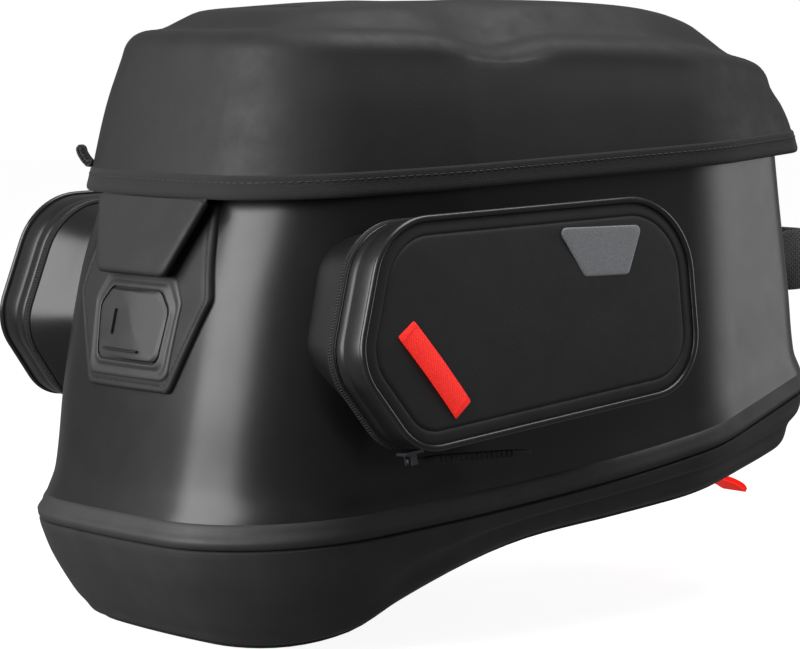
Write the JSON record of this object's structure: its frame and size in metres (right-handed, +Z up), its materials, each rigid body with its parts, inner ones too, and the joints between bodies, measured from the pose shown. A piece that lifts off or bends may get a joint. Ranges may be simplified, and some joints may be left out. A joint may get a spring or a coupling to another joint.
{
  "type": "motorcycle tank bag",
  "caption": "Hard-shell motorcycle tank bag with hinged lid and closing tongue, two zipped side pockets, carry handle and a quick-release ring under an arched base.",
  "frame": {"origin": "centre of the lock ring's bore, in the plane of the ring's underside", "axes": "+Z up out of the tank, +Y towards the end with the carry handle and the lid hinge, -Y the deep end with the closing tongue, +X the right side"},
  "size_m": [0.3494, 0.4459, 0.328],
  "materials": {
    "lid_shell_skin": "satin grained",
    "body_tpu": "semi gloss",
    "base_moulding": "fine grain",
    "binding": "woven",
    "lining": "woven",
    "zip_coil": "satin",
    "zip_metal": "brushed",
    "ring_nylon": "satin",
    "steel": "brushed",
    "foot_rubber": "matte",
    "red_webbing": "ribbed weave",
    "black_webbing": "ribbed weave",
    "patch_panel": "satin grained",
    "badge_rubber": "satin",
    "pocket_panel": "fine grain",
    "piping": "gloss",
    "reflector": "retro-reflective beads"
  },
  "bodies": {
    "bag": {"base_shell": "base_moulding", "foot_ring": "foot_rubber", "body_welt": "base_moulding", "main_shell": "body_tpu", "rim_binding": "binding", "main_zip_tape": "zip_coil", "inner_liner": "lining", "mount_ring": "ring_nylon", "ring_plate": "steel", "ring_screws": "steel", "latch_housing": "ring_nylon", "latch_springs": "steel", "front_patch": "patch_panel", "badge_frame": "badge_rubber", "badge_plate": "badge_rubber", "snap_plate": "steel", "handle_anchors": "black_webbing", "hinge_strip": "binding", "pocket_base_right": "body_tpu", "pocket_zip_right": "zip_coil", "pocket_base_left": "body_tpu", "pocket_zip_left": "zip_coil"},
    "lid": {"lid_shell": "lid_shell_skin", "lid_binding": "binding", "lid_zip_tape": "zip_coil", "lid_pull_tab": "black_webbing"},
    "tongue_flap": {"tongue": "patch_panel", "tongue_magnet": "steel"},
    "handle": {"carry_handle": "black_webbing"},
    "release": {"latch_slider": "ring_nylon", "release_strap": "red_webbing"},
    "door_right": {"pocket_door_right": "pocket_panel", "pocket_piping_right": "piping", "pocket_loop_right": "red_webbing", "pocket_reflector_right": "reflector"},
    "zip_right": {"zip_slider_right": "zip_metal"},
    "pull_right": {"zip_puller_right": "foot_rubber"},
    "door_left": {"pocket_door_left": "pocket_panel", "pocket_piping_left": "piping", "pocket_loop_left": "red_webbing", "pocket_reflector_left": "reflector"},
    "zip_left": {"zip_slider_left": "zip_metal"},
    "pull_left": {"zip_puller_left": "foot_rubber"}
  },
  "joints": [
    {"name": "lid_hinge", "type": "hinge", "parent": "bag", "child": "lid", "pos_m": [0, 0.1753, 0.1852], "axis": [-1, 0, 0], "range_deg": [0, 105]},
    {"name": "tongue_fold", "type": "hinge", "parent": "lid", "child": "tongue_flap", "pos_m": [0, -0.2006, 0.1652], "axis": [-1, 0, 0], "range_deg": [0, 100]},
    {"name": "handle_flex", "type": "hinge", "parent": "bag", "child": "handle", "pos_m": [0, 0.176, 0.121], "axis": [1, 0, 0], "range_deg": [-25, 25], "stiffness_Nm_per_rad": 0.8},
    {"name": "release_pull", "type": "slide", "parent": "bag", "child": "release", "axis": [0, 1, 0], "range_m": [0, 0.01], "stiffness_N_per_m": 300},
    {"name": "door_hinge_right", "type": "hinge", "parent": "bag", "child": "door_right", "pos_m": [0.1494, -0.06, 0.05653], "axis": [-0.0124, 0.9929, 0.1184], "range_deg": [0, 75]},
    {"name": "zip_run_right", "type": "hinge", "parent": "bag", "child": "zip_right", "pos_m": [0.14289, -0.14767, 0.0716], "axis": [-0.9945, 0, -0.1045], "range_deg": [0, 57.5]},
    {"name": "puller_swing_right", "type": "hinge", "parent": "zip_right", "child": "pull_right", "pos_m": [0.14632, -0.14343, 0.03895], "axis": [0.9945, 0, 0.1045], "range_deg": [-85, 10]},
    {"name": "door_hinge_left", "type": "hinge", "parent": "bag", "child": "door_left", "pos_m": [-0.1494, -0.06, 0.05653], "axis": [-0.0124, -0.9929, -0.1184], "range_deg": [0, 75]},
    {"name": "zip_run_left", "type": "hinge", "parent": "bag", "child": "zip_left", "pos_m": [-0.14289, -0.14767, 0.0716], "axis": [-0.9945, 0, 0.1045], "range_deg": [0, 57.5]},
    {"name": "puller_swing_left", "type": "hinge", "parent": "zip_left", "child": "pull_left", "pos_m": [-0.14632, -0.14343, 0.03895], "axis": [0.9945, 0, -0.1045], "range_deg": [-85, 10]}
  ]
}
